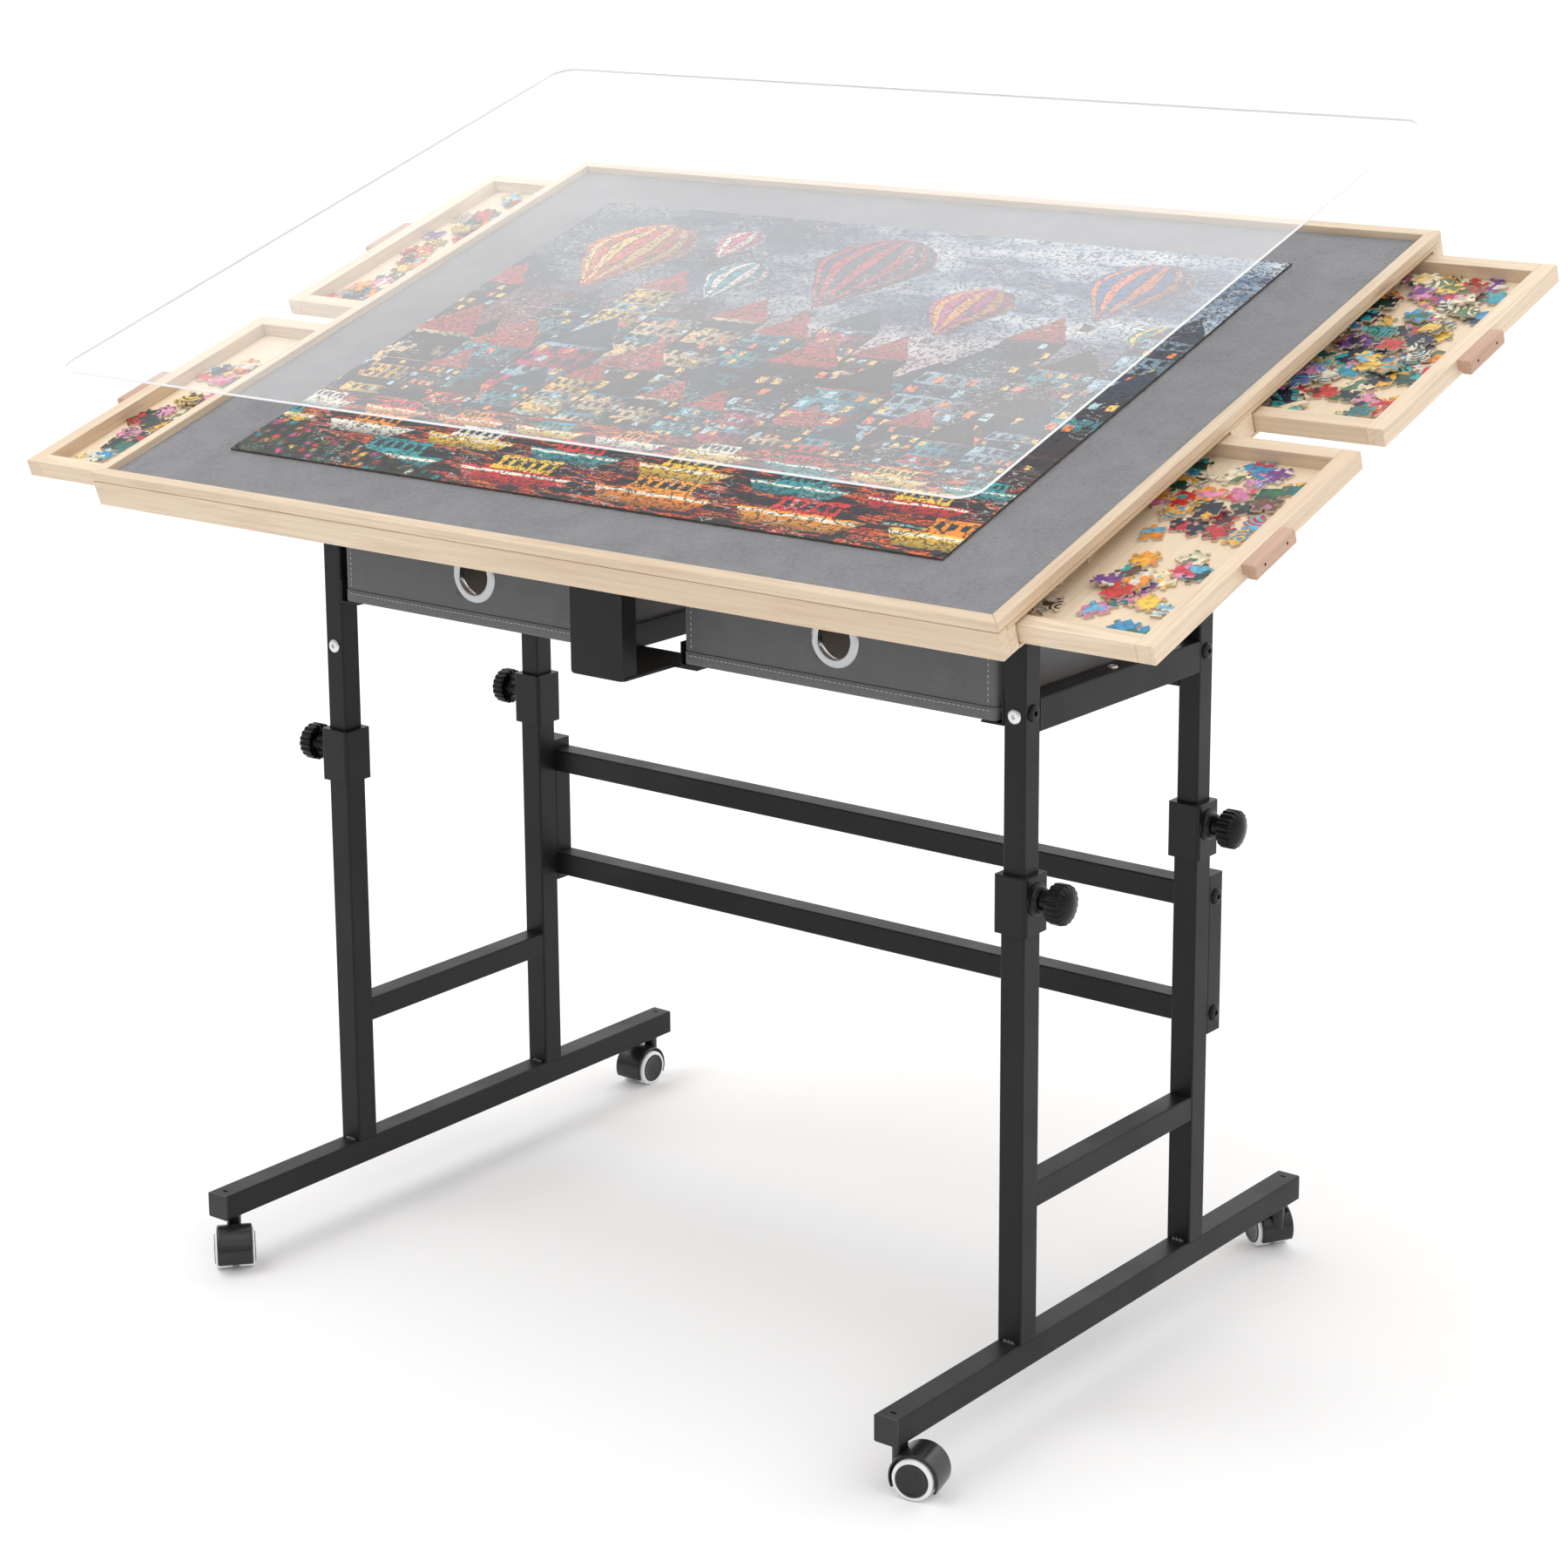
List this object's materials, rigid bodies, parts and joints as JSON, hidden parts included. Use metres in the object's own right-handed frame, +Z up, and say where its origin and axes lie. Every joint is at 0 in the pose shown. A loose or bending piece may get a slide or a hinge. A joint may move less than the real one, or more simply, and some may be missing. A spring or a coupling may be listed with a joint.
{
  "type": "jigsaw puzzle table with drawers",
  "caption": "Rolling, height-adjustable puzzle table: tilting felt board with a wooden rim, slide-out wooden trays, fabric drawers below and a clear cover.",
  "frame": {"origin": "on the floor, midway between the four legs", "axes": "+X to the right of someone sitting at the table, +Y away from them, +Z up"},
  "size_m": [1.118, 0.6383, 0.9445],
  "materials": {
    "steel_lower": "satin black powder coat",
    "steel_upper": "satin black powder coat",
    "black_plastic": "moulded, matt",
    "knob_plastic": "glossy, fluted",
    "wheel_white": "white treads with black hubs",
    "black_bolt": "black oxide",
    "silver_screw": "zinc plated",
    "pad_rubber": "matt",
    "hinge_steel": "black",
    "pine": "clear satin lacquer",
    "plywood": "sanded",
    "felt_grey": "short grey felt",
    "handle_wood": "reddish brown stain",
    "puzzle_card": "printed card",
    "acrylic": "clear sheet with polished edges",
    "grey_fabric": "stiff non-woven, stitched",
    "grommet_chrome": "bright"
  },
  "bodies": {
    "lower_frame": {"foot_rails": "steel_lower", "foot_caps": "black_plastic", "lower_legs_left": "steel_lower", "lower_legs_right": "steel_lower", "low_bars": "steel_lower", "rear_posts": "steel_lower", "crossbars": "steel_lower", "crossbar_bolts": "black_bolt", "leg_collars": "black_plastic"},
    "upper_frame": {"upper_legs_left": "steel_upper", "upper_legs_right": "steel_upper", "side_arm_left": "steel_upper", "side_arm_right": "steel_upper", "front_beam": "steel_upper", "rear_beam": "steel_upper", "back_rail": "steel_upper", "side_rail_left": "steel_upper", "side_rail_right": "steel_upper", "drawer_runners_left": "steel_upper", "drawer_runners_right": "steel_upper", "center_bracket": "steel_upper", "frame_bolts": "black_bolt", "frame_screws": "silver_screw", "rest_pads": "pad_rubber", "tilt_hinge_lower": "hinge_steel"},
    "board": {"tilt_hinge_upper": "hinge_steel", "tilt_frame": "steel_upper", "rim": "pine", "top_panel": "plywood", "felt": "felt_grey", "bottom_panel": "plywood", "wood_rails": "pine", "drawer_stops": "pine", "puzzle": "puzzle_card"},
    "clear_cover": {"cover": "acrylic"},
    "tray_front_left": {"tray_front_left": "pine", "handle_front_left": "handle_wood"},
    "tray_front_right": {"tray_front_right": "pine", "handle_front_right": "handle_wood"},
    "tray_rear_left": {"tray_rear_left": "pine", "handle_rear_left": "handle_wood"},
    "tray_rear_right": {"tray_rear_right": "pine", "handle_rear_right": "handle_wood"},
    "fabric_drawer_left": {"fabric_drawer_left": "grey_fabric", "grommet_left": "grommet_chrome"},
    "fabric_drawer_right": {"fabric_drawer_right": "grey_fabric", "grommet_right": "grommet_chrome"},
    "caster_hood_fl": {"caster_hood_fl": "black_plastic"},
    "caster_wheels_fl": {"caster_wheels_fl": "wheel_white"},
    "knob_fl": {"knob_fl": "knob_plastic"},
    "caster_hood_fr": {"caster_hood_fr": "black_plastic"},
    "caster_wheels_fr": {"caster_wheels_fr": "wheel_white"},
    "knob_fr": {"knob_fr": "knob_plastic"},
    "caster_hood_rl": {"caster_hood_rl": "black_plastic"},
    "caster_wheels_rl": {"caster_wheels_rl": "wheel_white"},
    "knob_rl": {"knob_rl": "knob_plastic"},
    "caster_hood_rr": {"caster_hood_rr": "black_plastic"},
    "caster_wheels_rr": {"caster_wheels_rr": "wheel_white"},
    "knob_rr": {"knob_rr": "knob_plastic"}
  },
  "joints": [
    {"name": "height", "type": "slide", "parent": "lower_frame", "child": "upper_frame", "axis": [0, 0, 1], "range_m": [-0.065, 0.12]},
    {"name": "tilt", "type": "hinge", "parent": "upper_frame", "child": "board", "pos_m": [0, -0.1765, 0.636], "axis": [1, 0, 0], "range_deg": [-18.5, 11.5]},
    {"name": "cover_lift", "type": "slide", "parent": "board", "child": "clear_cover", "axis": [0, -0.3173, 0.9483], "range_m": [-0.0898, 0.05]},
    {"name": "tray_slide_front_left", "type": "slide", "parent": "board", "child": "tray_front_left", "axis": [-1, 0, 0], "range_m": [-0.106, 0.11]},
    {"name": "tray_slide_front_right", "type": "slide", "parent": "board", "child": "tray_front_right", "axis": [1, 0, 0], "range_m": [-0.106, 0.11]},
    {"name": "tray_slide_rear_left", "type": "slide", "parent": "board", "child": "tray_rear_left", "axis": [-1, 0, 0], "range_m": [-0.106, 0.11]},
    {"name": "tray_slide_rear_right", "type": "slide", "parent": "board", "child": "tray_rear_right", "axis": [1, 0, 0], "range_m": [-0.106, 0.11]},
    {"name": "fabric_drawer_slide_left", "type": "slide", "parent": "upper_frame", "child": "fabric_drawer_left", "axis": [0, -1, 0], "range_m": [0, 0.18]},
    {"name": "fabric_drawer_slide_right", "type": "slide", "parent": "upper_frame", "child": "fabric_drawer_right", "axis": [0, -1, 0], "range_m": [0, 0.18]},
    {"name": "caster_swivel_fl", "type": "hinge", "parent": "lower_frame", "child": "caster_hood_fl", "pos_m": [-0.343, -0.2645, 0.041], "axis": [0, 0, 1], "continuous": true},
    {"name": "wheel_spin_fl", "type": "hinge", "parent": "caster_hood_fl", "child": "caster_wheels_fl", "pos_m": [-0.33185, -0.27454, 0.016], "axis": [0.6691, 0.7431, 0], "continuous": true},
    {"name": "knob_turn_fl", "type": "hinge", "parent": "lower_frame", "child": "knob_fl", "pos_m": [-0.343, -0.118, 0.4069], "axis": [-1, 0, 0], "range_deg": [0, 720]},
    {"name": "caster_swivel_fr", "type": "hinge", "parent": "lower_frame", "child": "caster_hood_fr", "pos_m": [0.343, -0.2645, 0.041], "axis": [0, 0, 1], "continuous": true},
    {"name": "wheel_spin_fr", "type": "hinge", "parent": "caster_hood_fr", "child": "caster_wheels_fr", "pos_m": [0.35749, -0.26062, 0.016], "axis": [-0.2588, 0.9659, 0], "continuous": true},
    {"name": "knob_turn_fr", "type": "hinge", "parent": "lower_frame", "child": "knob_fr", "pos_m": [0.343, -0.118, 0.4069], "axis": [1, 0, 0], "range_deg": [0, 720]},
    {"name": "caster_swivel_rl", "type": "hinge", "parent": "lower_frame", "child": "caster_hood_rl", "pos_m": [-0.343, 0.2645, 0.041], "axis": [0, 0, 1], "continuous": true},
    {"name": "wheel_spin_rl", "type": "hinge", "parent": "caster_hood_rl", "child": "caster_wheels_rl", "pos_m": [-0.343, 0.2495, 0.016], "axis": [1, 0, 0], "continuous": true},
    {"name": "knob_turn_rl", "type": "hinge", "parent": "lower_frame", "child": "knob_rl", "pos_m": [-0.343, 0.118, 0.4069], "axis": [-1, 0, 0], "range_deg": [0, 720]},
    {"name": "caster_swivel_rr", "type": "hinge", "parent": "lower_frame", "child": "caster_hood_rr", "pos_m": [0.343, 0.2645, 0.041], "axis": [0, 0, 1], "continuous": true},
    {"name": "wheel_spin_rr", "type": "hinge", "parent": "caster_hood_rr", "child": "caster_wheels_rr", "pos_m": [0.33014, 0.27223, 0.016], "axis": [-0.515, -0.8572, 0], "continuous": true},
    {"name": "knob_turn_rr", "type": "hinge", "parent": "lower_frame", "child": "knob_rr", "pos_m": [0.343, 0.118, 0.4069], "axis": [1, 0, 0], "range_deg": [0, 720]}
  ]
}
